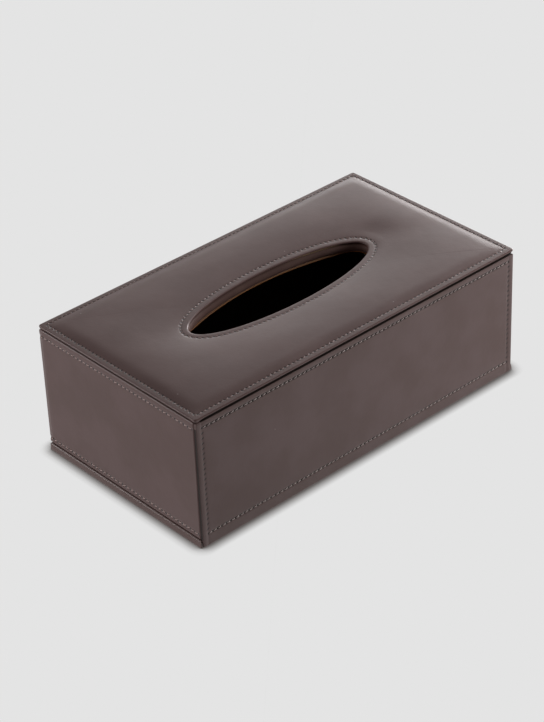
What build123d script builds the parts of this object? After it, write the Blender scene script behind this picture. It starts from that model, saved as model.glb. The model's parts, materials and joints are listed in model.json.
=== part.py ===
"""Leather tissue box with a drawer, in millimetres.

X runs along the box, -Y is the drawer's front, +Z is up, and the origin is the middle of the underside.
The cover is a padded top on three wrapped walls. The drawer is a wrapped base with a tall front panel and
three low walls. It slides out towards -Y on a runner at each end.
"""

import os

from build123d import *

# The box
case_length = 260.0
case_width = 142.0
wall_height = 86.5
seam = 0.6

# Sheet materials
leather = 0.6
lining = 0.5
wall_board = 3.0
edge_round = 1.2

# The base under the cover
base_height = 4.6
base_proud = 1.0
base_round = 1.8
turn_under = 12.0

# The drawer's front: a thin wrapped face whose edges lap over the cover, and a board behind it
face_board = 0.5
front_inset = 0.5
lap_gap = 0.7
front_round = 1.0
front_board = 3.0

# The drawer's walls and the runners that carry the cover on them
drawer_wall_height = 45.0
drawer_wall_board = 4.5
drawer_back_board = 3.0
side_clearance = 0.5
slide_clearance = 0.3
runner_height = 5.0
runner_depth = 3.0
runner_rise = 15.0
runner_round = 0.3
runner_front_space = 0.6
runner_back_space = 5.0

# The board that the padded top lies on, and the padded top
top_board = 5.7
pad_board = 0.8
foam_ease = 0.3
rim_height = 2.2
rim_flat = 0.9
rim_round = 1.0
rim_tuck = 0.4
stitch_sink = 0.1
stitch_inset = 4.0
crown_rise = 2.4
crown_run = 31.0
top_corner = 2.0
corner_growth = 0.35

# The opening for the tissues
opening_length = 143.2
opening_width = 41.2
opening_end_radius = 10.0
opening_stitch = 4.6
lip_drop = 0.5
lip_round = 1.0
dip_rise = 2.9
dip_run = 27.0
dip_overrun = 5.4
roll_seat = 2.0
roll_tuck = 0.9
roll_rise = 1.2
roll_groove = 0.1
lining_edge = 0.4

# Steps of the lofted forms: how far along a run each section lies, and how much of a rounding's radius is
# left at its middle
quarters = (0, 0.25, 0.5, 0.75, 1)
round_middle = 0.3

# Where these sizes put each layer
half_length = case_length / 2
half_width = case_width / 2
wall = leather + wall_board + lining
inner_half_length = half_length - wall
inner_back = half_width - wall
wall_foot = base_height + seam
lip = 2 * leather + face_board
wall_front = -half_width + lip + lap_gap
panel_underside = wall_height + seam
ceiling = panel_underside - top_board - lining
front_back_face = -half_width + lip
front_inner_face = front_back_face + front_board + lining
drawer_half_length = inner_half_length - side_clearance
tray_half_length = drawer_half_length - drawer_wall_board - 2 * lining
drawer_back = inner_back - side_clearance
tray_back = drawer_back - drawer_back_board - 2 * lining
drawer_wall_top = base_height + drawer_wall_height
front_board_top = ceiling - seam
runner_foot = base_height + runner_rise
runner_half_length = inner_half_length - runner_depth
base_half_length = half_length + base_proud
base_front = front_back_face - leather
front_half_length = half_length - front_inset

parts = []


def finish(builder, name):
    """Names a finished piece and keeps it for export."""
    builder.part.label = name
    parts.append(builder.part)


def block(x_range, y_range, z_range, mode=Mode.ADD):
    """A rectangular block between pairs of coordinates, in the open part."""
    sizes = [high - low for low, high in (x_range, y_range, z_range)]
    centre = [(low + high) / 2 for low, high in (x_range, y_range, z_range)]
    with Locations(tuple(centre)):
        Box(*sizes, mode=mode)


def oval(grow, height):
    """The opening's outline as four tangent arcs, every radius larger by grow, at a height."""
    along = opening_length / 2 + grow
    across = opening_width / 2 + grow
    end_radius = opening_end_radius + grow
    end_centre = along - end_radius
    reach = end_centre**2 + across**2 - end_radius**2
    side_radius = reach / (2 * (across - end_radius))
    side_centre = side_radius - across
    slant = Vector(end_centre, side_centre).normalized()
    joint = Vector(end_centre, 0) + slant * end_radius
    x, y = joint.X, joint.Y
    with BuildSketch(Plane.XY.offset(height)) as outline:
        with BuildLine():
            ThreePointArc((-x, y), (0, across), (x, y))
            ThreePointArc((x, y), (along, 0), (x, -y))
            ThreePointArc((x, -y), (0, -across), (-x, -y))
            ThreePointArc((-x, -y), (-along, 0), (-x, y))
        make_face()
    return outline.sketch


def rounded_outline(inset, corner, height):
    """The top's outline drawn in by inset, with a corner radius, at a height."""
    with BuildSketch(Plane.XY.offset(height)) as outline:
        RectangleRounded(case_length - 2 * inset, case_width - 2 * inset, corner)
    return outline.sketch


# ---- Cover: three walls, wrapped in one band of leather ----

board_foot = wall_foot + leather
board_top = wall_height - leather
board_front = wall_front + leather

with BuildPart() as cover_leather:
    block((-half_length, half_length), (wall_front, half_width), (wall_foot, wall_height))
    fillet(cover_leather.edges(), edge_round)
    block(
        (-inner_half_length, inner_half_length),
        (wall_front, inner_back),
        (wall_foot, wall_height),
        Mode.SUBTRACT,
    )
    for side in (-1, 1):
        pocket = sorted((side * inner_half_length, side * (half_length - leather)))
        block(pocket, (board_front, half_width - leather), (board_foot, board_top), Mode.SUBTRACT)
    block(
        (-inner_half_length, inner_half_length),
        (inner_back, half_width - leather),
        (board_foot, board_top),
        Mode.SUBTRACT,
    )
finish(cover_leather, "cover_leather")

for side, end in ((-1, "left"), (1, "right")):
    board_faces = sorted((side * (inner_half_length + lining), side * (half_length - leather)))
    lining_faces = sorted((side * inner_half_length, side * (inner_half_length + lining)))
    runner_faces = sorted((side * runner_half_length, side * inner_half_length))

    with BuildPart() as cover_board:
        block(board_faces, (board_front, half_width - leather), (board_foot, board_top))
    finish(cover_board, f"cover_board_{end}")

    with BuildPart() as cover_lining:
        block(lining_faces, (board_front, inner_back + lining), (board_foot, board_top))
    finish(cover_lining, f"cover_lining_{end}")

    with BuildPart() as runner:
        block(
            runner_faces,
            (front_inner_face + runner_front_space, drawer_back - runner_back_space),
            (runner_foot, runner_foot + runner_height),
        )
        free_face = runner.faces().sort_by(Axis.X)[0 if side > 0 else -1]
        fillet(free_face.edges(), runner_round)
    finish(runner, f"runner_{end}")

with BuildPart() as cover_board_back:
    block(
        (-inner_half_length - lining, inner_half_length + lining),
        (inner_back + lining, half_width - leather),
        (board_foot, board_top),
    )
finish(cover_board_back, "cover_board_back")

with BuildPart() as cover_lining_back:
    block(
        (-inner_half_length, inner_half_length),
        (inner_back, inner_back + lining),
        (board_foot, board_top),
    )
finish(cover_lining_back, "cover_lining_back")

# ---- Cover: the board under the padded top, its lining, front edging and the roll in its opening ----

with BuildPart() as top_inner_board:
    block(
        (-inner_half_length, inner_half_length),
        (board_front, inner_back),
        (ceiling + lining, panel_underside),
    )
    extrude(oval(roll_seat, ceiling), amount=top_board + lining, mode=Mode.SUBTRACT)
finish(top_inner_board, "top_inner_board")

with BuildPart() as top_lining:
    block(
        (-inner_half_length, inner_half_length),
        (board_front, inner_back),
        (ceiling, ceiling + lining),
    )
    extrude(oval(lining_edge, ceiling), amount=lining, mode=Mode.SUBTRACT)
finish(top_lining, "top_lining")

with BuildPart() as top_edge_leather:
    block(
        (-inner_half_length, inner_half_length),
        (wall_front, board_front),
        (ceiling, panel_underside),
    )
finish(top_edge_leather, "top_edge_leather")

roll_foot = ceiling + lining + roll_rise
roll_height = panel_underside + pad_board - roll_groove - roll_foot

with BuildPart() as opening_roll:
    extrude(oval(roll_seat, roll_foot), amount=roll_height)
    hollow = [
        oval(roll_tuck * (2 * share - 1) ** 2, roll_foot + share * roll_height) for share in quarters
    ]
    loft(hollow, ruled=True, mode=Mode.SUBTRACT)
finish(opening_roll, "opening_roll")

# ---- Cover: the padded top ----


def swell(run_share):
    """How far the padding has risen at a share of its run: a parabola that ends level."""
    return 1 - (1 - run_share) ** 2


def crown_sections(first, cut_back):
    """Rim to middle: (height, inset) of the rounded rectangles that the padded top is lofted through."""
    return first + [
        (rim_height + crown_rise * swell(share) - cut_back, stitch_inset + crown_run * share)
        for share in quarters
    ]


def loft_crown(sections):
    """Lofts rounded rectangles that get rounder towards the middle, in the open part."""
    outlines = [
        rounded_outline(inset, top_corner + corner_growth * inset, panel_underside + height)
        for height, inset in sections
    ]
    loft(outlines, ruled=True)


def cut_dip(grow, cut_back):
    """Cuts the opening, its rounded lip and the dip sewn round it out of the open part."""
    lip_top = rim_height - lip_drop - cut_back
    sections = [(0, grow), (lip_top - lip_round, grow), (lip_top, grow + round_middle * lip_round)]
    sections.append((rim_height - lip_drop / 2 - cut_back, grow + lip_round))
    for share in quarters:
        height = rim_height + dip_rise * swell(share) - cut_back
        sections.append((height, opening_stitch + dip_run * share))
    sections.append((rim_height + dip_rise + leather, opening_stitch + dip_run + dip_overrun))
    outlines = [oval(spread, panel_underside + height) for height, spread in sections]
    loft(outlines, ruled=True, mode=Mode.SUBTRACT)


with BuildPart() as top_panel_board:
    extrude(rounded_outline(leather, top_corner - leather, panel_underside), amount=pad_board)
    extrude(oval(roll_seat, panel_underside), amount=pad_board, mode=Mode.SUBTRACT)
finish(top_panel_board, "top_panel_board")

with BuildPart() as top_padding:
    padding_rim = [
        (pad_board, leather + foam_ease),
        (rim_height - leather - foam_ease, leather + rim_round),
    ]
    loft_crown(crown_sections(padding_rim, leather))
    cut_dip(leather, leather)
finish(top_padding, "top_padding")

with BuildPart() as top_leather:
    leather_rim = [
        (0, rim_tuck),
        (rim_height - rim_round - rim_flat, 0),
        (rim_height - rim_round, 0),
        (rim_height - round_middle * rim_round, round_middle * rim_round),
        (rim_height - stitch_sink, rim_round),
    ]
    loft_crown(crown_sections(leather_rim, 0))
    cut_dip(0, 0)
    extrude(oval(roll_seat, panel_underside), amount=pad_board, mode=Mode.SUBTRACT)
    add(top_panel_board.part, mode=Mode.SUBTRACT)
    add(top_padding.part, mode=Mode.SUBTRACT)
finish(top_leather, "top_leather")

# ---- Drawer: the wrapped base ----

base_core_foot = leather
base_core_top = base_height - leather
base_back = half_width

with BuildPart() as base_board:
    block(
        (-base_half_length + leather, base_half_length - leather),
        (base_front, base_back - leather),
        (base_core_foot, base_core_top),
    )
finish(base_board, "base_board")

with BuildPart() as base_suede:
    block(
        (-base_half_length + turn_under, base_half_length - turn_under),
        (base_front + turn_under, base_back - turn_under),
        (0, base_core_foot),
    )
finish(base_suede, "base_suede")

with BuildPart() as base_lining:
    block(
        (-tray_half_length, tray_half_length),
        (front_inner_face, tray_back),
        (base_core_top, base_height),
    )
finish(base_lining, "base_lining")

with BuildPart() as base_leather:
    block((-base_half_length, base_half_length), (base_front, base_back), (0, base_height))
    front_edges = base_leather.faces().sort_by(Axis.Y)[0].edges()
    fillet(base_leather.edges() - front_edges, base_round)
    add(base_board.part, mode=Mode.SUBTRACT)
    add(base_suede.part, mode=Mode.SUBTRACT)
    add(base_lining.part, mode=Mode.SUBTRACT)
finish(base_leather, "base_leather")

# ---- Drawer: the front ----

with BuildPart() as front_face_board:
    block(
        (-front_half_length + leather, front_half_length - leather),
        (-half_width + leather, base_front),
        (leather, board_top),
    )
finish(front_face_board, "front_face_board")

with BuildPart() as front_leather:
    block((-front_half_length, front_half_length), (-half_width, front_back_face), (0, wall_height))
    fillet(front_leather.faces().sort_by(Axis.Y)[0].edges(), front_round)
    block(
        (-half_length, half_length), (base_front, front_back_face), (0, base_height), Mode.SUBTRACT
    )
    add(front_face_board.part, mode=Mode.SUBTRACT)
finish(front_leather, "front_leather")

with BuildPart() as front_inner_board:
    block(
        (-drawer_half_length + lining, drawer_half_length - lining),
        (front_back_face, front_inner_face - lining),
        (base_height, front_board_top - lining),
    )
finish(front_inner_board, "front_inner_board")

with BuildPart() as front_lining:
    block(
        (-drawer_half_length, drawer_half_length),
        (front_back_face, front_inner_face),
        (base_height, front_board_top),
    )
    for side in (-1, 1):
        wall_end = sorted((side * tray_half_length, side * drawer_half_length))
        block(
            wall_end,
            (front_inner_face - lining, front_inner_face),
            (base_height, drawer_wall_top + lining),
            Mode.SUBTRACT,
        )
    add(front_inner_board.part, mode=Mode.SUBTRACT)
finish(front_lining, "front_lining")

# ---- Drawer: the two side walls with a groove for the runner, and the back wall ----

groove_foot = runner_foot - slide_clearance
groove_top = runner_foot + runner_height + slide_clearance
wall_y = (front_inner_face - lining, drawer_back)

for side, end in ((-1, "left"), (1, "right")):
    core = sorted((side * (tray_half_length + lining), side * (drawer_half_length - lining)))
    covered = sorted((side * tray_half_length, side * drawer_half_length))
    groove = sorted((side * (runner_half_length - slide_clearance), side * drawer_half_length))
    bare = sorted((side * (drawer_half_length - lining), side * drawer_half_length))

    with BuildPart() as drawer_side_board:
        block(core, wall_y, (base_height, drawer_wall_top))
        block(groove, wall_y, (groove_foot, groove_top), Mode.SUBTRACT)
    finish(drawer_side_board, f"drawer_side_board_{end}")

    with BuildPart() as drawer_side_cover:
        block(covered, wall_y, (base_height, drawer_wall_top + lining))
        block(core, wall_y, (base_height, drawer_wall_top), Mode.SUBTRACT)
        block(bare, wall_y, (base_height, groove_top), Mode.SUBTRACT)
    finish(drawer_side_cover, f"drawer_side_cover_{end}")

with BuildPart() as drawer_back_core:
    block(
        (-tray_half_length, tray_half_length),
        (tray_back + lining, drawer_back - lining),
        (base_height, drawer_wall_top),
    )
finish(drawer_back_core, "drawer_back_board")

with BuildPart() as drawer_back_cover:
    block(
        (-tray_half_length, tray_half_length),
        (tray_back, drawer_back),
        (base_height, drawer_wall_top + lining),
    )
    add(drawer_back_core.part, mode=Mode.SUBTRACT)
finish(drawer_back_cover, "drawer_back_cover")

os.makedirs("parts", exist_ok=True)
for part in parts:
    export_step(part, f"parts/{part.label}.step")
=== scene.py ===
"""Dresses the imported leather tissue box: padded top, sewn leather walls, drawer front, opening, linings.

The frame is in metres. Shapes are worked out here in millimetres and turned to metres in mesh().
X runs along the box, the drawer opens towards -Y, +Z is up.
"""

import json
import math

import bmesh
import bpy
import numpy as np
from mathutils import Matrix, Vector
from mathutils.kdtree import KDTree


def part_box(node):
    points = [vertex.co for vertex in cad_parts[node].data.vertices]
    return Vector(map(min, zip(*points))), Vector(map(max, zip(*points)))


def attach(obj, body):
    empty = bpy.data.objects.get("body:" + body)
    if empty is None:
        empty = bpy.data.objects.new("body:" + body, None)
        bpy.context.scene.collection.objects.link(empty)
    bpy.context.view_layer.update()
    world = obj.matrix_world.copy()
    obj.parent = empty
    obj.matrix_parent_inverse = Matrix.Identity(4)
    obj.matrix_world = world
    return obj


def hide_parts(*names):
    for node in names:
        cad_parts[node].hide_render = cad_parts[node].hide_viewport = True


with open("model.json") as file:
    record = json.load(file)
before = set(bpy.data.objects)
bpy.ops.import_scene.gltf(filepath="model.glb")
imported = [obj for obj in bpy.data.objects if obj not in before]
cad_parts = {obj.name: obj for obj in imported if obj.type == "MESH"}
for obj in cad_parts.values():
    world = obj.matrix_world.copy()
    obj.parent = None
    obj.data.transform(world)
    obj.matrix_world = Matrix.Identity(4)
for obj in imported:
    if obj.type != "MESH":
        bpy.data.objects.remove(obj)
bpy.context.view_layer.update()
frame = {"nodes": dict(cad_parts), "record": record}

MM = 0.001

# ---- Sizes, in millimetres ----

top_pitch, front_pitch, wall_pitch = 3.3, 3.5, 3.65  # from stitch to stitch
hole_spacing = 3.45  # the middle pitch, for the drawn holes
hole_core, hole_reach = 0.3, 0.78  # a drawn hole's painted shade is full up to the first, and gone at the second
top_thread_width, wall_thread_width = 0.42, 0.5  # the top's thread is pulled down between the pads
slit_slant = math.radians(-28)  # the awl's slits, against square to the row
slit_squeeze = 0.55  # how much of its length across the row a slit counts for
leather_thickness = 0.55

top_inset = 3.6  # from the padded top's edge to its row of stitches
flange = 2.1  # how high the flat borders stand over the panel's underside
edge_rise, edge_run_in = 1.12, 9.0  # the padding's quick rise beside the outer row of stitches
crown_rise, crown_run = 1.35, 32.0  # and its slow rise on towards the middle
lip_rise, lip_run = 0.15, 8.0  # the same beside the opening's row
dip_rise, dip_run = 1.9, 40.0
pad_unevenness, pad_wave = 0.1, 34.0  # the padding's slow swells: how high, how far apart
dimple_depth, dimple_place, dimple_reach = 0.5, (85.0, 4.0), 12.0  # the hollow past the opening's right end
crease_depth, crease_width = 0.14, 0.8
corner_sag = 1.0  # how far the near corners of the rim droop over the seam
sag_core, sag_reach = 5.0, 10.0  # round a corner it is whole up to the first, and gone at the second
top_corner, least_corner = 1.6, 0.8  # the top's roundings in plan: at its edge, and further in
foam_gap = 0.08  # between the leather and the foam, so that their faces don't fight

oval_length, oval_width = 143.2, 41.2
oval_inset = 4.6  # from the opening's lip to its row of stitches
lip_underside = 0.85
roll_proud = 0.55  # how far the roll swells past the lip above it
roll_gather, roll_wave = 0.09, 0.05  # how high its gathers stand at the tight ends, and its waves all round
roll_under_lip, roll_hang = 0.85, 1.2  # how far it stays below the lip, and hangs over the lining's edge

front_row_top, front_row_foot, front_row_end = 4.3, 8.2, 4.2
front_corner = 1.0  # the front's corners, rounded in its own plane
wall_row_top, wall_row_foot, wall_row_end = 4.6, 3.2, 1.6
wall_corner = 1.2  # the band's rounding at the two rear corners
wall_turned_in = 4.1
front_head_drop = 0.3  # how far the front's folded top edge stays under its solid's
painted_from = 0.2  # how deep the edge coat, also painted shade for the gap, begins on the front's sides
bare_corner = 3.5  # round the front's upper left corner the coat and its painted shade are left off
row_crease = 0.3  # how deep a row pulls the leather of the walls and the front in
upright_sink = 0.5  # how much deeper the front's upright rows lie
thread_lift = 0.05  # how far the other rows lie above the bottom of their crease
wall_edge_proud = 0.65  # the band's folded edge beyond its boards, beside the drawer's front
strip_foot_round, strip_top_round = 0.4, 1.4
strip_into_front = 0.7  # how far its ends run on behind the front's leather
strip_lean = 0.3  # how far the base strip's face leans in at the top
strip_over, strip_under = 4.0, 9.0  # how far it is turned over on top and under at the foot
strip_back_corner, strip_front_corner = 1.8, 0.3


def extents(node):
    """A CAD node's lowest and highest corner at rest, in millimetres."""
    low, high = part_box(node)
    return np.array(low) / MM, np.array(high) / MM


top_low, top_high = extents("top_leather")
wall_low, wall_high = extents("cover_leather")
front_low, front_high = extents("front_leather")
base_low, base_high = extents("base_leather")
roll_low, roll_high = extents("opening_roll")

# ---- Meshes ----


def link(name, data):
    """A new object in the scene."""
    thing = bpy.data.objects.new(name, data)
    bpy.context.scene.collection.objects.link(thing)
    return thing


def mesh(name, points, faces, material=None):
    """A smooth object from points in millimetres, with doubles merged and empty faces dropped."""
    data = bpy.data.meshes.new(name)
    data.from_pydata((np.asarray(points, float).reshape(-1, 3) * MM).tolist(), [], faces)
    work = bmesh.new()
    work.from_mesh(data)
    bmesh.ops.remove_doubles(work, verts=work.verts, dist=0.004 * MM)
    bmesh.ops.dissolve_degenerate(work, dist=0.002 * MM, edges=work.edges)
    work.to_mesh(data)
    work.free()
    data.shade_smooth()
    if material:
        data.materials.append(material)
    return link(name, data)


def grid_faces(rows, columns, close_rows=False, close_columns=False):
    """Quads of a grid of rows x columns points, closed round one way or both."""
    faces = []
    for i in range(rows if close_rows else rows - 1):
        for j in range(columns if close_columns else columns - 1):
            k, m = (i + 1) % rows, (j + 1) % columns
            faces.append((i * columns + j, i * columns + m, k * columns + m, k * columns + j))
    return faces


def thicken(sheet):
    """Gives a leather sheet its thickness, inwards."""
    thick = sheet.modifiers.new("thickness", "SOLIDIFY")
    thick.thickness = leather_thickness * MM
    thick.offset = -1.0


def level(plan, height):
    """Plan positions at a height, which is one number or one for each."""
    return np.column_stack([plan, np.broadcast_to(height, len(plan))])


def smooth_step(value, low, high):
    share = np.clip((value - low) / (high - low), 0, 1)
    return share * share * (3 - 2 * share)


def hand_wave(x, y, seed, size):
    """Slow unevenness of hand-laid leather, about +-1, with hollows about size millimetres apart."""
    chance = np.random.default_rng(seed)
    total = np.zeros(np.broadcast(x, y).shape)
    for _ in range(7):
        turn, phase = chance.uniform(0, 2 * math.pi, 2)
        wave = 2 * math.pi / (size * chance.uniform(0.7, 1.8))
        total = total + np.sin(wave * (x * math.cos(turn) + y * math.sin(turn)) + phase)
    return total / 4


# ---- Rows of stitches: each is a line of points with the way its leather faces ----


def row(points, facing, pitch, closed=False):
    """A row of stitches along points, with as many whole stitches as the pitch allows."""
    points = np.asarray(points, float)
    facing = np.broadcast_to(np.asarray(facing, float), points.shape)
    ends = np.vstack([points, points[:1]]) if closed else points
    length = np.linalg.norm(np.diff(ends, axis=0), axis=1).sum()
    count = int(round(length / pitch))
    return {"points": points, "facing": facing, "closed": closed, "count": count, "length": length}


def read_along(wanted, known, values):
    """Points or directions known along a line, read at other places on it."""
    return np.stack([np.interp(wanted, known, values[:, k]) for k in range(3)], 1)


def row_samples(line, step=0.4):
    """Points every step along a row: place, direction, facing and how many stitches come before."""
    points, facing = line["points"], line["facing"]
    if line["closed"]:
        points, facing = np.vstack([points, points[:1]]), np.vstack([facing, facing[:1]])
    lengths = np.linalg.norm(np.diff(points, axis=0), axis=1)
    travelled = np.concatenate([[0], np.cumsum(lengths)])
    spots = np.linspace(0, line["length"], int(line["length"] / step))
    place, look = read_along(spots, travelled, points), read_along(spots, travelled, facing)
    way = np.gradient(place, axis=0)
    way /= np.linalg.norm(way, axis=1)[:, None] + 1e-12
    return place, way, look, spots * line["count"] / line["length"]


def mark_sewing(thing, lines, reach=3.0):
    """Writes the UV map that the leather's stitch holes follow: stitches along a row, millimetres off it."""
    samples = [row_samples(line) for line in lines]
    place, way, look, along = (np.concatenate([s[k] for s in samples]) for k in range(4))
    across = np.cross(look, way)
    tree = KDTree(len(place))
    for k, spot in enumerate(place):
        tree.insert(spot, k)
    tree.balance()
    data = thing.data
    uv = np.full((len(data.loops), 2), 0.5)
    uv[:, 1] = 50.0  # far from any row
    corners = np.array([v.co for v in data.vertices]) / MM
    for face in data.polygons:
        centre = np.array(face.center) / MM
        _, k, distance = tree.find(centre)
        if distance < reach:
            for loop in face.loop_indices:
                offset = corners[data.loops[loop].vertex_index] - place[k]
                uv[loop] = along[k] + offset @ way[k] / hole_spacing, offset @ across[k]
    layer = data.uv_layers.new(name="sewing")
    layer.data.foreach_set("uv", uv.ravel())


# ---- Colours and nodes ----


def dye(hex_code):
    """An sRGB hex colour as linear RGBA."""
    channels = [int(hex_code[k : k + 2], 16) / 255 for k in (1, 3, 5)]
    return [c / 12.92 if c <= 0.04045 else ((c + 0.055) / 1.055) ** 2.4 for c in channels] + [1.0]


def put(tree, kind, inputs=None, **settings):
    """Adds a node with its settings, and its inputs' values or links by socket name or number."""
    node = tree.nodes.new(kind)
    for setting, value in settings.items():
        setattr(node, setting, value)
    for socket, value in (inputs or {}).items():
        if isinstance(value, bpy.types.NodeSocket):
            tree.links.new(value, node.inputs[socket])
        else:
            node.inputs[socket].default_value = value
    return node


def maths(tree, operation, *values):
    """The output of one maths node."""
    return put(tree, "ShaderNodeMath", dict(enumerate(values)), operation=operation).outputs[0]


def ramp(tree, value, low, high, start=0.0, end=1.0, kind="LINEAR"):
    """A value's way from low to high, read as the way from start to end and held at its ends."""
    inputs = {"Value": value, "From Min": low, "From Max": high, "To Min": start, "To Max": end}
    return put(tree, "ShaderNodeMapRange", inputs, interpolation_type=kind).outputs[0]


def blend(tree, share, first, second):
    """The colour at a share of the way from one to another."""
    return put(tree, "ShaderNodeMix", {0: share, 6: first, 7: second}, data_type="RGBA").outputs[2]


def noise(tree, place, size, detail, roughness=0.5):
    """Noise with patches about size millimetres across."""
    inputs = {"Vector": place, "Scale": 1 / (size * MM), "Detail": detail, "Roughness": roughness}
    return put(tree, "ShaderNodeTexNoise", inputs).outputs["Fac"]


def cells(tree, place, size, **settings):
    """The outputs of a cell pattern with cells about size millimetres across."""
    return put(tree, "ShaderNodeTexVoronoi", {"Vector": place, "Scale": 1 / (size * MM)}, **settings).outputs


def relief(tree, height, strength, depth):
    """A surface roughened by a height, depth millimetres deep."""
    inputs = {"Strength": strength, "Distance": depth * MM, "Height": height}
    return put(tree, "ShaderNodeBump", inputs).outputs[0]


def blank(name):
    """An empty material, its node tree, and where a point lies on its own object."""
    material = bpy.data.materials.new(name)
    material.use_nodes = True
    tree = material.node_tree
    tree.nodes.clear()
    return material, tree, put(tree, "ShaderNodeTexCoord").outputs["Object"]


def shade(material, colour, normal, inputs):
    """Ends a material with its shader and output."""
    given = {"Base Color": colour, "Normal": normal, **inputs}
    shader = put(material.node_tree, "ShaderNodeBsdfPrincipled", given)
    put(material.node_tree, "ShaderNodeOutputMaterial", {"Surface": shader.outputs[0]})
    return material


# ---- Materials ----


def punched_holes(tree):
    """1 in the middle of a stitch hole and 0 away from it, from the sewing map."""
    sewing = put(tree, "ShaderNodeUVMap", uv_map="sewing").outputs[0]
    split = put(tree, "ShaderNodeSeparateXYZ", {0: sewing}).outputs
    # Millimetres past the nearest hole, then turned to lie along and across the awl's slanted slit
    since_last = maths(tree, "FRACT", maths(tree, "ADD", split[0], 0.5))
    past = maths(tree, "MULTIPLY", maths(tree, "SUBTRACT", since_last, 0.5), hole_spacing)
    slit = put(tree, "ShaderNodeCombineXYZ", {"X": past, "Y": split[1]}).outputs[0]
    turning = {"Vector": slit, "Angle": slit_slant}
    turned = put(tree, "ShaderNodeVectorRotate", turning, rotation_type="Z_AXIS").outputs[0]
    squeeze = {0: turned, 1: (1.0, slit_squeeze, 0.0)}
    squeezed = put(tree, "ShaderNodeVectorMath", squeeze, operation="MULTIPLY").outputs[0]
    distance = put(tree, "ShaderNodeVectorMath", {0: squeezed}, operation="LENGTH").outputs["Value"]
    return ramp(tree, distance, hole_core, hole_reach, 1.0, 0.0, kind="SMOOTHSTEP")


def nappa(name, deep, light, sewn, roughness=(0.34, 0.42), specular=0.3):
    """Finished nappa cowhide: smooth, closed grain, a cloudy brown dye, soft satin shine.

    deep and light are the dye's two tones. Sewn pieces have sunken stitch holes along their rows, darkened
    with painted shade.
    """
    material, tree, place = blank(name)
    cloud = ramp(tree, noise(tree, place, 34.0, 3.0, 0.55), 0.36, 0.64, kind="SMOOTHSTEP")
    colour = blend(tree, cloud, dye(deep), dye(light))
    # Pale specks of dust, in four cells out of ten
    dust = cells(tree, place, 17.0)
    chosen = put(tree, "ShaderNodeSeparateColor", {0: dust["Color"]}).outputs[0]
    rare = maths(tree, "GREATER_THAN", chosen, 0.6)
    near = maths(tree, "LESS_THAN", dust["Distance"], 0.024)
    speck = maths(tree, "MULTIPLY", maths(tree, "MULTIPLY", rare, near), 0.32)
    colour = blend(tree, speck, colour, dye("#A39795"))
    # Closed grain: real pores are about 0.3 mm, drawn at 0.9 mm so that they show
    grain = maths(tree, "MULTIPLY", cells(tree, place, 0.9, feature="SMOOTH_F1")["Distance"], 0.35)
    crease = noise(tree, place, 6.0, 4.0, 0.6)
    height = maths(tree, "MULTIPLY_ADD", crease, 1.6, grain)
    if sewn:
        hole = punched_holes(tree)
        # Painted shade in each stitch hole, darkest at its middle
        colour = blend(tree, maths(tree, "MULTIPLY", hole, 0.9), colour, dye("#1A1110"))
        height = maths(tree, "MULTIPLY_ADD", hole, -3.0, height)
    worn = ramp(tree, crease, 0.0, 1.0, *roughness)
    normal = relief(tree, height, 0.35, 0.12)
    return shade(material, colour, normal, {"Roughness": worn, "IOR": 1.5, "Specular IOR Level": specular})


def bonded_thread(name, deep, light):
    """Bonded polyester thread: twisted from three plies in two near tones, a little gloss."""
    material, tree, place = blank(name)
    fuzz = noise(tree, place, 0.5, 2.0)
    colour = blend(tree, fuzz, dye(deep), dye(light))
    return shade(material, colour, relief(tree, fuzz, 0.5, 0.1), {"Roughness": 0.55})


def edge_paint_and_seam_shade(name):
    """Acrylic edge coat on cut leather: near black, built up in thin layers, satin, a little ridged. Where it
    lines a seam's gap its near black is painted shade.
    """
    material, tree, place = blank(name)
    ridge = noise(tree, place, 1.1, 3.0, 0.6)
    # Near black: the coat's own colour, and painted shade where it lines a seam's gap
    colour = blend(tree, ridge, dye("#160E0C"), dye("#241815"))
    satin = {"Roughness": 0.6, "Specular IOR Level": 0.2}
    return shade(material, colour, relief(tree, ridge, 0.4, 0.1), satin)


def suede(name, deep, light):
    """Microfibre suede: matt, a short nap that lies in patches and lightens at a grazing view."""
    material, tree, place = blank(name)
    nap = noise(tree, place, 12.0, 5.0, 0.7)
    fibre = noise(tree, place, 0.7, 2.0)
    matt = {"Roughness": 0.95, "Specular IOR Level": 0.15, "Sheen Weight": 0.15}
    colour = blend(tree, nap, dye(deep), dye(light))
    return shade(material, colour, relief(tree, fibre, 0.6, 0.2), matt)


def fibreboard(name, deep, light, roughness):
    """Pressed wood fibre or card: short fibres in two tones, matt, dry."""
    material, tree, place = blank(name)
    fibre = noise(tree, place, 1.5, 6.0, 0.75)
    colour = blend(tree, fibre, dye(deep), dye(light))
    return shade(material, colour, relief(tree, fibre, 0.3, 0.1), {"Roughness": roughness})


def waxed_beech(name):
    """Waxed beech for the runners: close straight grain along Y, with short dark flecks."""
    material, tree, place = blank(name)
    long_way = put(tree, "ShaderNodeMapping", {"Vector": place, "Scale": (1.0, 0.04, 1.0)}).outputs[0]
    grain = noise(tree, long_way, 1.2, 4.0)
    colour = blend(tree, grain, dye("#5E4028"), dye("#8A6444"))
    return shade(material, colour, relief(tree, grain, 0.2, 0.1), {"Roughness": 0.45})


def open_foam(name):
    """Cream polyurethane foam: fine open cells, matt."""
    material, tree, place = blank(name)
    cell = cells(tree, place, 0.8)["Distance"]
    colour = blend(tree, cell, dye("#D9CFB8"), dye("#B4A88E"))
    return shade(material, colour, relief(tree, cell, 0.6, 0.3), {"Roughness": 0.95})


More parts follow.
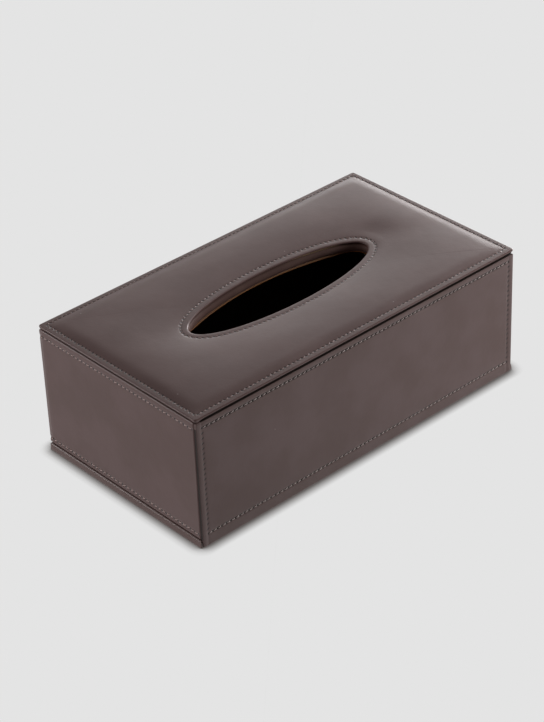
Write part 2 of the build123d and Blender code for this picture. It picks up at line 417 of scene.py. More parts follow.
leather_sewn = nappa("nappa_sewn", "#503A37", "#56403E", sewn=True)  # walls and front
leather_top = nappa("nappa_top", "#4B3330", "#523A37", sewn=True)  # a shade deeper, stretched on the pad: painted shade that offsets the grey shine the lights lay on the top
leather_plain = nappa("nappa_plain", "#4E3936", "#543F3C", sewn=False)  # small pieces without a row
leather_base = nappa("nappa_base", "#533F3C", "#594542", sewn=False)  # the strip, a little lighter: painted light standing in for the pale floor's bounce at the foot
leather_roll = nappa(  # the opening's edge: darker, and duller where fingers rub it
    "nappa_roll", "#46302C", "#4F3833", sewn=False, roughness=(0.5, 0.6), specular=0.12
)
wall_thread = bonded_thread("bonded_thread_pale", "#866F6B", "#C4ACA7")
top_thread = bonded_thread("bonded_thread_taupe", "#6C5651", "#927A75")
seam_shade_coat = edge_paint_and_seam_shade("edge_coat_and_seam_shade")
dark_suede = suede("dark_microsuede", "#2A1B14", "#38271E")
tan_suede = suede("tan_microsuede", "#6C3E20", "#874F29")
board = fibreboard("wood_fibreboard", "#7C5F42", "#9A7A58", 0.85)
stained_board = fibreboard("stained_fibreboard", "#2A201B", "#382B25", 0.75)
card = fibreboard("grey_card", "#6E665A", "#8B8375", 0.9)
runner_wood = waxed_beech("waxed_beech")
foam = open_foam("open_cell_foam")

# ---- The padded top ----

long_steps, short_steps, arc_steps = 240, 130, 12  # points along the top's outline
pad_steps = 50  # and from its outer row of stitches to the opening's
quarters = [(1, 1), (-1, 1), (-1, -1), (1, -1)]  # a rectangle's corners, anticlockwise


def corner_arc(quarter, half, radius, shares):
    """Points at shares of the turn round one rounded corner of a rectangle with these half sides."""
    centre = np.array(quarters[quarter]) * (np.array(half) - radius)
    turn = (quarter + shares) * math.pi / 2
    return centre + radius * np.stack([np.cos(turn), np.sin(turn)], 1)


def outline(inset, corner):
    """Points round the top's edge drawn in by inset, the same number on each side and corner."""
    half_x, half_y = top_high[0] - inset, top_high[1] - inset
    sides = [
        ((half_x, corner - half_y), (half_x, half_y - corner), short_steps),
        ((half_x - corner, half_y), (corner - half_x, half_y), long_steps),
        ((-half_x, half_y - corner), (-half_x, corner - half_y), short_steps),
        ((corner - half_x, -half_y), (half_x - corner, -half_y), long_steps),
    ]
    arc_shares = np.linspace(0, 1, arc_steps, endpoint=False)
    points = []
    for quarter, (start, end, steps) in enumerate(sides):
        share = np.linspace(0, 1, steps, endpoint=False)[:, None]
        points.append(np.array(start) * (1 - share) + np.array(end) * share)
        points.append(corner_arc(quarter, (half_x, half_y), corner, arc_shares))
    return np.vstack(points)


def oval(angle, grow):
    """Points at angles round the opening, grow millimetres outside its lip."""
    point = np.stack([oval_length / 2 * np.cos(angle), oval_width / 2 * np.sin(angle)], 1)
    out = np.stack([np.cos(angle) / oval_length, np.sin(angle) / oval_width], 1)
    return point + grow * out / np.linalg.norm(out, axis=1)[:, None]


def round_angles(count):
    """Angles once round, evenly spread."""
    return np.linspace(0, 2 * math.pi, count, endpoint=False)


sewn_edge = outline(top_inset, least_corner)
columns = len(sewn_edge)
sewn_half = top_high[:2] - top_inset  # from the middle to the outer row of stitches
oval_angle = np.arctan2(sewn_edge[:, 1] / sewn_half[1], sewn_edge[:, 0] / sewn_half[0])
sewn_oval = oval(oval_angle, oval_inset)


def swell(distance, rise, run):
    """A padded rise at a distance from where it starts: steepest there, level at the end of its run."""
    return rise * (1 - (1 - np.clip(distance / run, 0, 1)) ** 2)


def padded_rise(distance):
    """The padding's height at a distance inside the outer row of stitches."""
    return swell(distance, edge_rise, edge_run_in) + swell(distance, crown_rise, crown_run)


def distance_to_oval(points, portion=4000):
    """How far points in plan lie from the opening's row of stitches, a portion of them at a time."""
    ring = oval(round_angles(900), oval_inset)
    flat = points.reshape(-1, 2)
    nearest = [
        np.sqrt(((part[:, None, :] - ring[None]) ** 2).sum(2).min(1))
        for part in np.array_split(flat, max(1, len(flat) // portion))
    ]
    return np.concatenate(nearest).reshape(points.shape[:-1])


def pad_height(points):
    """How high the padded leather stands over the panel's underside, between its two rows of stitches."""
    x, y = points[..., 0], points[..., 1]
    in_x, in_y = sewn_half[0] - abs(x), sewn_half[1] - abs(y)
    crown = padded_rise(in_x) * padded_rise(in_y) / (edge_rise + crown_rise)
    off_oval = distance_to_oval(points)
    dip = swell(off_oval, lip_rise, lip_run) + swell(off_oval, dip_rise, dip_run)
    # The lower of the two, rounded off where they meet
    mix = np.clip(0.5 + 0.5 * (dip - crown), 0, 1)
    joined = dip * (1 - mix) + crown * mix - mix * (1 - mix)
    to_edge = np.minimum(in_x, in_y)
    crease = np.exp(-((to_edge / crease_width) ** 2)) + np.exp(-((off_oval / crease_width) ** 2))
    wave = pad_unevenness * hand_wave(x, y, 11, pad_wave) * np.clip(joined / 1.5, 0, 1)
    off_dimple = (x - dimple_place[0]) ** 2 + (y - dimple_place[1]) ** 2
    dimple = dimple_depth * np.exp(-off_dimple / dimple_reach**2) * np.clip(joined / 0.8, 0, 1)
    return flange + np.maximum(joined, 0) + wave - dimple - crease_depth * crease


def pad_plan(shares):
    """Plan positions between the two rows, at shares of the way from the edge's to the opening's."""
    eased = 0.55 * shares + 0.45 * (0.5 - 0.5 * np.cos(math.pi * shares))
    return sewn_edge[None] * (1 - eased)[:, None, None] + sewn_oval[None] * eased[:, None, None]


def settle_pad(every=3, rings=22, cap=0.25, ironing=40, frames=20):
    """Cloth simulation of the top between its rows: how far each point of a coarse grid moves.

    The leather is pinned along both rows and pressed up from inside by the foam. The glue under it
    holds the small ripples down, so only the slow swells of the result are kept.
    """
    shares = np.linspace(0, 1, rings)
    plan = pad_plan(shares)[:, ::every]
    start = np.dstack([plan, pad_height(plan)])
    wide = plan.shape[1]
    cloth = mesh("pad_cloth", start, grid_faces(rings, wide, close_columns=True))
    ends = {tuple(np.round(p, 3)) for p in start[[0, -1]].reshape(-1, 3)}
    pinned = [v.index for v in cloth.data.vertices if tuple(np.round(np.array(v.co) / MM, 3)) in ends]
    cloth.vertex_groups.new(name="rows").add(pinned, 1.0, "ADD")
    setup = cloth.modifiers.new("cloth", "CLOTH").settings
    setup.quality = 6
    setup.mass = 0.02
    setup.tension_stiffness = setup.compression_stiffness = 12
    setup.shear_stiffness = 6
    setup.bending_stiffness = 2.0
    setup.use_pressure = True
    setup.uniform_pressure_force = 3
    setup.vertex_group_mass = "rows"
    setup.effector_weights.gravity = 0
    for step in range(1, frames + 1):
        bpy.context.scene.frame_set(step)
    shaped = cloth.evaluated_get(bpy.context.evaluated_depsgraph_get()).data
    moved = np.array([v.co for v in shaped.vertices]) / MM - start.reshape(-1, 3)
    bpy.context.scene.frame_set(1)
    bpy.data.objects.remove(cloth)
    reach = np.linalg.norm(moved, axis=1)[:, None] + 1e-9
    moved = (moved * np.tanh(reach / cap) * cap / reach).reshape(rings, wide, 3)
    for _ in range(ironing):
        moved = (np.roll(moved, 1, axis=1) + 2 * moved + np.roll(moved, -1, axis=1)) / 4
        moved[1:-1] = (moved[:-2] + 2 * moved[1:-1] + moved[2:]) / 4
    return shares, moved, every


def settled(simulated, shares):
    """The simulated movement read at any share and at every column."""
    known, moved, every = simulated
    at = np.arange(columns) / every
    low = np.floor(at).astype(int)
    part = (at - low)[None, :, None]
    wide = moved.shape[1]
    along = moved[:, low % wide] * (1 - part) + moved[:, (low + 1) % wide] * part
    spot = shares * (len(known) - 1)
    base = np.minimum(spot.astype(int), len(known) - 2)
    part = (spot - base)[:, None, None]
    return along[base] * (1 - part) + along[base + 1] * part


# How near each column is to one of the two left corners, 0 to 1, and less off the drawer's side
corner_close = np.zeros(columns)
for side in (-1, 1):
    off = np.hypot(sewn_edge[:, 0] - top_low[0], sewn_edge[:, 1] - side * top_high[1])
    corner_close = np.maximum(corner_close, 1 - smooth_step(off, sag_core, sag_reach))
over_drawer = smooth_step(-sewn_edge[:, 1], sewn_half[1] - 0.2, sewn_half[1])
corner_close *= 0.55 + 0.45 * over_drawer

# The rim's section, as (in from the edge, up from the panel's underside): foot, side, rounding, flat border
rim_side, rim_round = 1.5, 0.6
rim_section = [
    (2.9, 0.0), (2.1, 0.0), (1.55, 0.02), (1.1, 0.12), (0.72, 0.3),
    (0.4, 0.56), (0.16, 0.88), (0.03, 1.22), (0.0, rim_side),
]
rim_turn = len(rim_section)  # where its rounding begins
for turn in np.radians(np.arange(12, 91, 13)):
    rim_section.append((rim_round - rim_round * math.cos(turn), rim_side + rim_round * math.sin(turn)))
rim_section += [(1.2, 2.1), (2.0, 2.12), (2.7, 2.12), (3.15, 2.11), (3.42, 2.05)]

# The lip's section, as (out from the opening, up): flat border, rounding, and back under the lip
lip_section = [
    (4.2, 1.97), (3.7, 2.04), (3.1, 2.07), (2.4, 2.08), (1.7, 2.08), (1.1, 2.06), (0.65, 2.01),
    (0.35, 1.92), (0.14, 1.78), (0.03, 1.58), (0.0, 1.3), (0.04, 1.06), (0.2, 0.9),
    (1.2, lip_underside), (2.6, lip_underside),
]


def top_rings(simulated):
    """The sewn cover from its turned-in foot, over the rim, across the padding and under the lip."""
    rings = []
    for inset, height in rim_section:
        low_down = (1 - smooth_step(height, 0.3, rim_side)) * (1 - smooth_step(inset, 1.2, 2.2))
        ring = outline(inset, max(top_corner - inset / 3, least_corner))
        rings.append(level(ring, height - corner_sag * corner_close * low_down))
    shares = np.linspace(0, 1, pad_steps)
    plan = pad_plan(shares)
    pad = np.dstack([plan, pad_height(plan)])
    if simulated is not None:
        pad = pad + settled(simulated, shares)
    rings += list(pad)
    rings += [level(oval(oval_angle, grow), height) for grow, height in lip_section]
    rings = np.array(rings)
    rings[..., 2] += top_low[2]
    return rings


def inner_rings(rings, depth, keep):
    """The rings that keep picks, moved inwards by depth along the surface's normals."""
    round_way = np.roll(rings, -1, axis=1) - np.roll(rings, 1, axis=1)
    across = np.gradient(rings, axis=0)
    normal = np.cross(round_way, across)
    normal /= np.linalg.norm(normal, axis=2)[..., None] + 1e-12
    return (rings - depth * normal)[keep]


simulated = settle_pad()
cover_rings = top_rings(simulated)
total_rings = len(cover_rings)
# The hidden inner side needs one ring in three of each stretch, and the first and last ring
stretches = [1, len(rim_section) - 1, total_rings - len(lip_section), total_rings - 1]
keep = [0]
for first, end in zip(stretches, stretches[1:]):
    keep += range(first, end, 3)
inside = inner_rings(cover_rings, leather_thickness, keep + [total_rings - 1])
shell = np.vstack([cover_rings, inside[::-1]])
padded_top = mesh("padded_top_leather", shell, grid_faces(len(shell), columns, True, True), leather_top)

# The foam reaches from the rim's rounding to the lip's, on every second ring
foam_keep = list(range(rim_turn, total_rings - 5, 2))
foam_rings = inner_rings(cover_rings, leather_thickness + foam_gap, foam_keep)[:, ::3]
foam_rings[..., 2] = np.maximum(foam_rings[..., 2], top_low[2] + lip_underside + 0.02)
foam_floor = foam_rings[[-1, 0]].copy()
foam_floor[..., 2] = top_low[2] + lip_underside + 0.01
foam_body = np.vstack([foam_rings, foam_floor])
top_foam = mesh("top_foam", foam_body, grid_faces(len(foam_body), foam_body.shape[1], True, True), foam)

row_height = top_low[2] + flange - crease_depth
top_lines = (sewn_edge, oval(round_angles(400), oval_inset))
top_rows = [row(level(line, row_height), (0, 0, 1), top_pitch, closed=True) for line in top_lines]

# ---- The roll of leather under the lip ----


def rolled_edge():
    """Leather rolled over a cord and glued round the opening, gathered a little at its tight ends."""
    angle = round_angles(420)
    seat = roll_high[0] - oval_length / 2
    head, foot = roll_high[2] - roll_under_lip, roll_low[2] - roll_hang
    half_height = (head - foot) / 2
    middle = (head + foot) / 2
    tight = np.abs(np.cos(angle)) ** 14
    gather = roll_gather * tight * np.sin(angle * 75) + roll_wave * hand_wave(angle * 60, angle * 0, 5, 22.0)
    rings = []
    for turn in np.radians(np.arange(-84, 85, 12)):
        bulge = seat * 0.98 * math.cos(turn)
        ring = oval(angle, 0)
        out = oval(angle, 1.0) - ring
        grow = seat - bulge - roll_proud * math.cos(turn) + gather * math.cos(turn)
        rings.append(level(ring + out * grow[:, None], middle + half_height * math.sin(turn)))
    for share in (0.99, -0.99):
        rings.append(level(oval(angle, seat), middle + half_height * share))
    faces = grid_faces(len(rings), len(angle), True, True)
    return mesh("opening_roll_leather", np.array(rings[::-1]), faces, leather_roll)


lip_roll = rolled_edge()

# ---- Sewn leather panels: the walls and the drawer's front ----


def edge_run(length, first, last, turned_in, coarse=3.0, fine=0.45, fine_reach=10.0):
    """Stations across a panel, as (how far along, how deep): turned-in edge, rounding, face and back.

    first and last are the roundings at its two edges, as (how wide, how deep).
    """
    turns = np.radians(np.linspace(90, 0, 7))

    def edge(rounding):
        wide, deep = rounding
        turned = [(0.0, d) for d in np.linspace(turned_in, deep, 3, endpoint=False)]
        return turned + [(wide * (1 - math.sin(a)), deep * (1 - math.cos(a))) for a in turns]

    near = np.arange(0.5, fine_reach, fine)
    face = [x for x in near if x > first[0] + 0.2]
    coarse_steps = int((length - 2 * fine_reach) / coarse)
    face += list(np.linspace(fine_reach, length - fine_reach, coarse_steps))
    face += [length - x for x in near[::-1] if x > last[0] + 0.2]
    return edge(first) + [(x, 0.0) for x in face] + [(length - x, d) for x, d in edge(last)[::-1]]


def edge_lift(distance, row_at, crest=0.16, valley=row_crease):
    """Fullness between an edge and its row of stitches, and the crease that the row pulls in."""
    inside_row = np.clip(distance / row_at, 0, 1)
    full = crest * np.sin(math.pi * inside_row**0.8) ** 2
    return full - valley * np.exp(-(((distance - row_at) / 0.9) ** 2))


def panel_depth(along, up, turned_in, lift):
    """How deep each point of a panel lies: folded back at its edges, lifted on its face."""
    depth = np.minimum(along[:, 1][:, None] + up[:, 1][None], turned_in)
    on_face = (up[:, 1] == 0)[None] & (along[:, 1] == 0)[:, None]
    return np.where(on_face, depth - lift, depth)


def wall_place(along, depth):
    """Plan position on the band of leather round the left end, the back and the right end."""
    corner = wall_corner
    front_edge = wall_low[1] - wall_edge_proud
    side = wall_high[1] - front_edge
    arc = corner * math.pi / 2
    half = side - corner + arc + wall_high[0] - corner
    mirrored = along > half
    run = np.where(mirrored, 2 * half - along, along)
    turn = np.clip((run - (side - corner)) / arc, 0, 1) * math.pi / 2
    past = np.maximum(run - (side - corner) - arc, 0)
    keep_radius = np.maximum(corner - depth, 0)
    reach = np.maximum(depth, corner)
    x = wall_low[0] + reach - keep_radius * np.cos(turn) + past
    y_turn = wall_high[1] - reach + keep_radius * np.sin(turn)
    y = np.where(run < side - corner, np.minimum(front_edge + run, wall_high[1] - reach), y_turn)
    x = np.where(past > 0, np.maximum(wall_low[0] + corner + past, wall_low[0] + reach), x)
    return np.where(mirrored, -x, x), y, half


def wrapped_walls():
    """One band of leather round both ends and the back, turned in over the boards on every edge."""
    _, _, half = wall_place(0.0, 0.0)
    height = wall_high[2] - wall_low[2]
    along = np.array(edge_run(2 * half, (0.9, 0.8), (0.9, 0.8), wall_turned_in))
    up = np.array(edge_run(height, (0.7, 0.6), (0.9, 0.8), wall_turned_in))
    a, z = np.meshgrid(along[:, 0], up[:, 0], indexing="ij")
    lift = edge_lift(height - z, wall_row_top, crest=0.06) + edge_lift(z, wall_row_foot, crest=0.08)
    inner = smooth_step(np.minimum(height - z, z), 4.0, 14.0)
    lift = lift + 0.05 * hand_wave(a, z, 23, 60.0) * inner
    x, y, _ = wall_place(a, panel_depth(along, up, wall_turned_in, lift))
    points = np.dstack([x, y, z + wall_low[2]])
    band = mesh("wall_leather", points, grid_faces(len(along), len(up)), leather_sewn)
    thicken(band)
    stretch = np.linspace(wall_row_end, 2 * half - wall_row_end, 500)
    thread_depth = row_crease - thread_lift
    plan, outside = (np.column_stack(wall_place(stretch, d)[:2]) for d in (thread_depth, thread_depth - 1.0))
    facing = level(outside - plan, 0.0)
    heights = (wall_high[2] - wall_row_top, wall_low[2] + wall_row_foot)
    return band, [row(level(plan, z), facing, wall_pitch) for z in heights]


def round_corners(a, z, length, height):
    """Points of the front moved inwards at its corners, rounded in the panel's own plane."""
    from_x, from_z = np.minimum(a, length - a), np.minimum(z, height - z)
    dx, dz = np.maximum(front_corner - from_x, 0), np.maximum(front_corner - from_z, 0)
    shrink = np.maximum(dx, dz) / (np.hypot(dx, dz) + 1e-9)
    in_corner = (dx > 0) & (dz > 0)
    new_x = np.where(in_corner, front_corner - dx * shrink, from_x)
    new_z = np.where(in_corner, front_corner - dz * shrink, from_z)
    return np.where(a < length / 2, new_x, length - new_x), np.where(z < height / 2, new_z, height - new_z)


def wrapped_front():
    """The drawer's front: a thin board wrapped in leather and sewn on all four sides."""
    length, height = front_high[0] - front_low[0], front_high[2] - front_low[2] - front_head_drop
    turned_in = front_high[1] - front_low[1]
    along = np.array(edge_run(length, (0.35, 0.3), (0.35, 0.3), turned_in))
    up = np.array(edge_run(height, (0.5, 0.4), (0.9, 0.6), turned_in))
    a, z = np.meshgrid(along[:, 0], up[:, 0], indexing="ij")
    sides = np.minimum(a, length - a)
    between_ends = smooth_step(sides, 2.0, 5.0)
    lift = edge_lift(height - z, front_row_top) * between_ends
    lift = lift + edge_lift(z, front_row_foot, crest=-0.04) * between_ends
    ends = edge_lift(sides, front_row_end, crest=0.14, valley=0.15)
    lift = np.where(np.abs(ends) > np.abs(lift), ends, lift)
    inner = smooth_step(np.minimum(sides, np.minimum(z, height - z)), 5.0, 16.0)
    lift = lift + 0.06 * hand_wave(a, z, 31, 70.0) * inner
    depth = panel_depth(along, up, turned_in, lift)
    a, z = round_corners(a, z, length, height)
    points = np.dstack([a + front_low[0], front_low[1] + depth, z + front_low[2]])
    face = mesh("front_panel_leather", points[::-1], grid_faces(len(along), len(up)), leather_sewn)
    # The coat on the front's sides is partly painted shade: it darkens the gap beside the walls
    face.data.materials.append(seam_shade_coat)
    for side in face.data.polygons:
        x, y, z = np.array(side.center) / MM
        near_corner = math.hypot(x - front_low[0], z - front_low[2] - height) < bare_corner
        coated_and_shaded = y > front_low[1] + painted_from and z > base_high[2] and not near_corner
        side.material_index = int(coated_and_shaded)
    thicken(face)
    left, right = front_low[0] + front_row_end, front_high[0] - front_row_end
    foot, head = front_low[2] + front_row_foot, front_low[2] + height - front_row_top
    corners = [(left, foot), (right, foot), (right, head), (left, head)]
    rows = []
    for k, (start, end) in enumerate(zip(corners, corners[1:] + corners[:1])):
        # The upright rows are pulled in tighter, so that they show as slits
        y = front_low[1] + row_crease + (upright_sink if k % 2 else -thread_lift)
        rows.append(row([(start[0], y, start[1]), (end[0], y, end[1])], (0, -1, 0), front_pitch))
    return face, rows


def strip_section():
    """The base strip's section, as (in from its face, up from the floor), once round the leather."""
    height = base_high[2] - base_low[2]
    foot, head, thick = strip_foot_round, strip_top_round, leather_thickness
    turns = np.radians(np.linspace(0, 90, 7))
    section = [(strip_under, 0.0), (5.0, 0.0), (2.0, 0.0)]
    section += [(foot - foot * math.sin(t), foot - foot * math.cos(t)) for t in turns]
    section += [(strip_lean * share, height * share) for share in (0.25, 0.4, 0.55)]
    for t in turns:
        inset = strip_lean + (head - strip_lean) * (1 - math.cos(t))
        section.append((inset, height - head + head * math.sin(t)))
    section += [(2.5, height), (strip_over, height), (strip_over, height - thick), (head, height - thick)]
    return section + [(thick, height - head), (thick, foot), (foot, thick), (strip_under, thick)]


def wrapped_base():
    """Leather glued round the base board's edge: turned over on top and turned under at the foot."""
    front_end = base_low[1] - strip_into_front
    half_x, half_y = base_high[0], (base_high[1] - front_end) / 2
    middle = np.array([0.0, (base_high[1] + front_end) / 2])
    rings = []
    for inset, z in strip_section():
        ring = []
        for quarter, (_, end) in enumerate(quarters):
            radius = max((strip_back_corner if end > 0 else strip_front_corner) - inset, 0.2)
            ring.append(corner_arc(quarter, (half_x - inset, half_y - inset), radius, np.linspace(0, 1, 9)))
        rings.append(level(np.vstack(ring) + middle, z + base_low[2]))
    rings = np.array(rings)
    return mesh("base_strip_leather", rings, grid_faces(len(rings), rings.shape[1], True, True), leather_base)


wall_band, wall_rows = wrapped_walls()
base_strip = wrapped_base()
front_panel, front_rows = wrapped_front()

mark_sewing(padded_top, top_rows)
mark_sewing(wall_band, wall_rows)
mark_sewing(front_panel, front_rows)

# ---- Stitches ----


def one_stitch(tree, given):
    """One stitch: a bowed tube whose ends dip into their holes."""
    half = maths(tree, "MULTIPLY", given["Stitch Length"], 0.5)
    back = maths(tree, "MULTIPLY", half, -1.0)
    down = maths(tree, "MULTIPLY", given["Sink"], -1.0)
    bow = {
        "Resolution": 6,
        "Start": put(tree, "ShaderNodeCombineXYZ", {"X": back, "Z": down}).outputs[0],
        "Middle": put(tree, "ShaderNodeCombineXYZ", {"Z": given["Rise"]}).outputs[0],
        "End": put(tree, "ShaderNodeCombineXYZ", {"X": half, "Z": down}).outputs[0],
    }
    path = put(tree, "GeometryNodeCurveQuadraticBezier", bow).outputs[0]
    circle = {"Resolution": 6, "Radius": maths(tree, "MULTIPLY", given["Thread Width"], 0.5)}
    ring = put(tree, "GeometryNodeCurvePrimitiveCircle", circle, mode="RADIUS").outputs[0]
    tube = {"Curve": path, "Profile Curve": ring, "Fill Caps": True}
    return put(tree, "GeometryNodeCurveToMesh", tube).outputs[0]


def stitch_turn(tree, given):
    """A stitch's rotation: along its row, flat on the leather, a little slantwise as an awl leaves it."""
    tangent = put(tree, "GeometryNodeInputTangent").outputs[0]
    named = put(tree, "GeometryNodeInputNamedAttribute", {"Name": "facing"}, data_type="FLOAT_VECTOR")
    along = put(tree, "FunctionNodeAlignRotationToVector", {"Vector": tangent}, axis="X").outputs[0]
    upwards = {"Rotation": along, "Vector": named.outputs["Attribute"]}
    flat = put(tree, "FunctionNodeAlignRotationToVector", upwards, axis="Z", pivot_axis="X").outputs[0]
    less = maths(tree, "MULTIPLY", given["Unevenness"], -1.0)
    draw = {2: less, 3: given["Unevenness"], "Seed": given["Seed"]}
    chance = put(tree, "FunctionNodeRandomValue", draw, data_type="FLOAT").outputs[1]
    lean = {"Axis": (0, 0, 1), "Angle": maths(tree, "ADD", given["Slant"], chance)}
    slant = put(tree, "FunctionNodeAxisAngleToRotation", lean).outputs[0]
    both = {"Rotation": flat, "Rotate By": slant}
    return put(tree, "FunctionNodeRotateRotation", both, rotation_space="LOCAL").outputs[0]


def stitch_tree():
    """Geometry nodes that lay one saddle stitch from each hole to the next along every row."""
    tree = bpy.data.node_groups.new("saddle_stitches", "GeometryNodeTree")
    face = tree.interface
    face.new_socket("Rows", in_out="INPUT", socket_type="NodeSocketGeometry")
    sizes = {"Thread Width": 0.5 * MM, "Stitch Length": 2.3 * MM, "Rise": 0.6 * MM, "Sink": 0.2 * MM}
    angles = {"Slant": math.radians(11), "Unevenness": math.radians(5)}
    for name, value in {**sizes, **angles}.items():
        face.new_socket(name, in_out="INPUT", socket_type="NodeSocketFloat").default_value = value
    face.new_socket("Seed", in_out="INPUT", socket_type="NodeSocketInt").default_value = 7
    face.new_socket("Thread", in_out="INPUT", socket_type="NodeSocketMaterial")
    face.new_socket("Stitches", in_out="OUTPUT", socket_type="NodeSocketGeometry")
    given = put(tree, "NodeGroupInput").outputs

    rows = put(tree, "GeometryNodeMeshToCurve", {"Mesh": given["Rows"]}).outputs[0]
    number = put(tree, "GeometryNodeInputNamedAttribute", {"Name": "holes"}, data_type="INT")
    even = {"Curve": rows, "Count": number.outputs["Attribute"]}
    holes = put(tree, "GeometryNodeResampleCurve", even, mode="COUNT").outputs[0]
    laying = {"Points": holes, "Instance": one_stitch(tree, given), "Rotation": stitch_turn(tree, given)}
    laid = put(tree, "GeometryNodeInstanceOnPoints", laying).outputs[0]
    real = put(tree, "GeometryNodeRealizeInstances", {"Geometry": laid}).outputs[0]
    soft = put(tree, "GeometryNodeSetShadeSmooth", {"Geometry": real}).outputs[0]
    sewn = put(tree, "GeometryNodeSetMaterial", {"Geometry": soft, "Material": given["Thread"]}).outputs[0]
    put(tree, "NodeGroupOutput", {0: sewn})
    return tree


def sew(name, rows, tree, seed, thread, width):
    """Stitches along rows as one plain mesh. A stitch's middle lies half a pitch from each hole."""
    points, edges, facing, holes = [], [], [], []
    for line in rows:
        place, _, look, along = row_samples(line)
        wanted = np.arange(line["count"]) + 0.5
        first = len(points)
        points += list(read_along(wanted, along, place))
        facing += list(read_along(wanted, along, look))
        holes += [len(wanted)] * len(wanted)
        edges += [(k, k + 1) for k in range(first, len(points) - 1)]
        if line["closed"]:
            edges.append((len(points) - 1, first))
    data = bpy.data.meshes.new(name)
    data.from_pydata((np.array(points) * MM).tolist(), edges, [])
    ways = data.attributes.new("facing", "FLOAT_VECTOR", "POINT")
    ways.data.foreach_set("vector", np.array(facing).ravel())
    data.attributes.new("holes", "INT", "POINT").data.foreach_set("value", holes)
    path = link(name + "_rows", data)
    sewing = path.modifiers.new("sewing", "NODES")
    sewing.node_group = tree
    sockets = {s.name: s.identifier for s in tree.interface.items_tree if s.in_out == "INPUT"}
    sewing[sockets["Seed"]] = seed
    sewing[sockets["Thread"]] = thread
    sewing[sockets["Thread Width"]] = width * MM
    done = path.evaluated_get(bpy.context.evaluated_depsgraph_get())
    result = bpy.data.meshes.new_from_object(done)
    path.modifiers.clear()
    bpy.data.objects.remove(path)
    result.name = name
    if not result.materials:
        result.materials.append(thread)
    return link(name, result)


tree = stitch_tree()
top_stitches = sew("top_stitches", top_rows, tree, 7, top_thread, top_thread_width)
wall_stitches = sew("wall_stitches", wall_rows, tree, 8, wall_thread, wall_thread_width)
drawer_stitches = sew("drawer_stitches", front_rows, tree, 9, wall_thread, wall_thread_width)

# ---- Every piece on its body ----

for piece, body, nodes, slot in (
    (padded_top, "cover", ["top_leather"], "leather"),
    (top_foam, "cover", ["top_padding"], "foam"),
    (lip_roll, "cover", ["opening_roll"], "leather"),
    (wall_band, "cover", ["cover_leather"], "leather"),
    (top_stitches, "cover", [], "leather"),
    (wall_stitches, "cover", [], "leather"),
    (front_panel, "drawer", ["front_leather"], "leather"),
    (base_strip, "drawer", ["base_leather"], "leather"),
    (drawer_stitches, "drawer", [], "leather"),
):
    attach(piece, body)
    if nodes:
        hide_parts(*nodes)

finishes = {
    "leather": leather_plain,
    "dark_suede": dark_suede,
    "tan_suede": tan_suede,
    "board": board,
    "card": card,
    "runner_wood": runner_wood,
    "foam": foam,
}
# Boards that show at a seam or beside the open drawer are coated, stained dark or faced with leather. The
# coat on the seams' boards is also painted shade for the gaps
coated_boards = {
    "front_face_board": leather_plain,
    "top_panel_board": seam_shade_coat,
    "base_board": seam_shade_coat,
    "drawer_side_board_left": stained_board,
    "drawer_side_board_right": stained_board,
    "drawer_back_board": stained_board,
}
for part in frame["record"]["subparts"]:
    data = frame["nodes"][part["node"]].data
    data.materials.clear()
    data.materials.append(coated_boards.get(part["node"], finishes[part["material_slot"]]))

# ---- Floor, light and camera ----

page = dye("#E4E4E4")
floor_half = 20  # from the middle to each edge, in metres
contact_reach, contact_ease = 8.2, 1.35  # millimetres the object's shade reaches, and how it fades
roof_run = 12.0  # millimetres inside the base's outline over which the page turns from seen to lit


def shows_page(tree, ray, camera_share):
    """A share of the camera's rays, and all rays off something shiny: these see the page's colour."""
    seen = maths(tree, "MAXIMUM", camera_share, ray["Is Glossy Ray"])
    return maths(tree, "MAXIMUM", seen, ray["Is Transmission Ray"])


def page_floor():
    """A pale sheet. The camera sees its colour as written, darkened where the object nearly touches it."""
    material, tree, _ = blank("pale_page")
    matt = {"Base Color": page, "Roughness": 0.9, "Specular IOR Level": 0.1}
    lit = put(tree, "ShaderNodeBsdfPrincipled", matt).outputs[0]
    near = put(tree, "ShaderNodeAmbientOcclusion", {"Distance": contact_reach * MM}, samples=24).outputs["AO"]
    eased = maths(tree, "POWER", ramp(tree, near, 0.5, 1.0), contact_ease)
    ray = put(tree, "ShaderNodeLightPath").outputs
    shown = blend(tree, ray["Is Camera Ray"], page, blend(tree, eased, dye("#5C5755"), page))
    glow = put(tree, "ShaderNodeEmission", {"Color": shown}).outputs[0]
    # Under the cover, where an open drawer leaves the sheet bare, it is lit as it lies there, in the dark
    spot = put(tree, "ShaderNodeNewGeometry").outputs["Position"]
    split = put(tree, "ShaderNodeSeparateXYZ", {0: spot}).outputs
    inside = [maths(tree, "SUBTRACT", base_high[k] * MM, maths(tree, "ABSOLUTE", split[k])) for k in (0, 1)]
    outside = ramp(tree, maths(tree, "MINIMUM", *inside), 0.0, roof_run * MM, 1.0, 0.0)
    straight = shows_page(tree, ray, maths(tree, "MULTIPLY", ray["Is Camera Ray"], outside))
    mixed = put(tree, "ShaderNodeMixShader", {0: straight, 1: lit, 2: glow}).outputs[0]
    put(tree, "ShaderNodeOutputMaterial", {"Surface": mixed})
    corners = [(x * floor_half, y * floor_half, 0) for x, y in quarters]
    data = bpy.data.meshes.new("floor")
    data.from_pydata(corners, [], [(0, 1, 2, 3)])
    data.materials.append(material)
    link("floor", data)


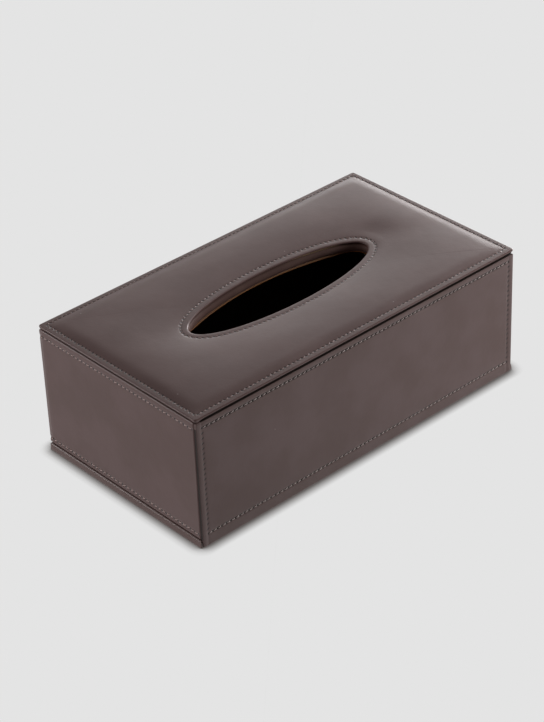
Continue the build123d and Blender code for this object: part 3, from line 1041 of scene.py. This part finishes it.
def studio_air():
    """The room's own light: even and faint, and the page's colour where it is seen."""
    world = bpy.data.worlds.new("studio")
    bpy.context.scene.world = world
    world.use_nodes = True
    tree = world.node_tree
    tree.nodes.clear()
    ray = put(tree, "ShaderNodeLightPath").outputs
    straight = shows_page(tree, ray, ray["Is Camera Ray"])
    seen = put(tree, "ShaderNodeBackground", {"Color": page}).outputs[0]
    light = put(tree, "ShaderNodeBackground", {"Color": (1, 1, 1, 1), "Strength": 0.02}).outputs[0]
    mixed = put(tree, "ShaderNodeMixShader", {0: straight, 1: light, 2: seen}).outputs[0]
    put(tree, "ShaderNodeOutputWorld", {"Surface": mixed})


def softbox(name, place, size, power, tint=(1, 1, 1), mirrored=True):
    """A square soft light at a place in metres, turned to the box. Not mirrored: it gives no shine."""
    lamp = bpy.data.lights.new(name, "AREA")
    lamp.shape = "SQUARE"
    lamp.size = size
    lamp.energy = power
    lamp.color = tint
    holder = link(name, lamp)
    holder.location = place
    holder.rotation_euler = (Vector((0, 0, 0.05)) - Vector(place)).to_track_quat("-Z", "Y").to_euler()
    holder.visible_glossy = mirrored


# The photograph's view, fitted to the box's edges: the camera's place in metres, its axes and its lens
camera_place = (-0.79979, -0.90444, 0.82763)
camera_right = (0.736727, -0.675234, -0.035948)
camera_up = (0.393039, 0.384361, 0.835336)
camera_back = (-0.550230, -0.629544, 0.548563)
lens_pixels, photo_height = 2344.25, 722
sensor = 36.0


def camera():
    """The photograph's view."""
    lens = bpy.data.cameras.new("camera")
    lens.sensor_width = sensor
    lens.lens = sensor * lens_pixels / photo_height
    lens.clip_start, lens.clip_end = 0.05, 100
    holder = link("camera", lens)
    axes = Matrix((camera_right, camera_up, camera_back)).transposed().to_4x4()
    holder.matrix_world = Matrix.Translation(camera_place) @ axes
    bpy.context.scene.camera = holder


page_floor()
studio_air()
softbox("right_softbox", (2.1, 0.45, 0.6), 0.7, 36, tint=(1.0, 0.93, 0.94))
softbox("right_back_softbox", (1.9, 0.9, 0.75), 0.7, 9.0)
softbox("back_softbox", (1.3, 1.3, 0.8), 1.0, 2.1)
softbox("far_edge_strip", (1.6, 1.5, 0.35), 0.6, 4.9)
softbox("rear_left_softbox", (-1.2, 1.5, 0.7), 1.0, 11.5)
softbox("rear_left_low_softbox", (-1.3, 1.3, 0.25), 0.6, 8)
softbox("left_low_softbox", (-1.7, 0.3, 0.18), 0.5, 9.0)
softbox("front_right_softbox", (0.75, -0.55, 0.3), 0.35, 11.5, tint=(0.87, 1.07, 1.09), mirrored=False)
camera()

view = bpy.context.scene.view_settings
view.view_transform = "Standard"
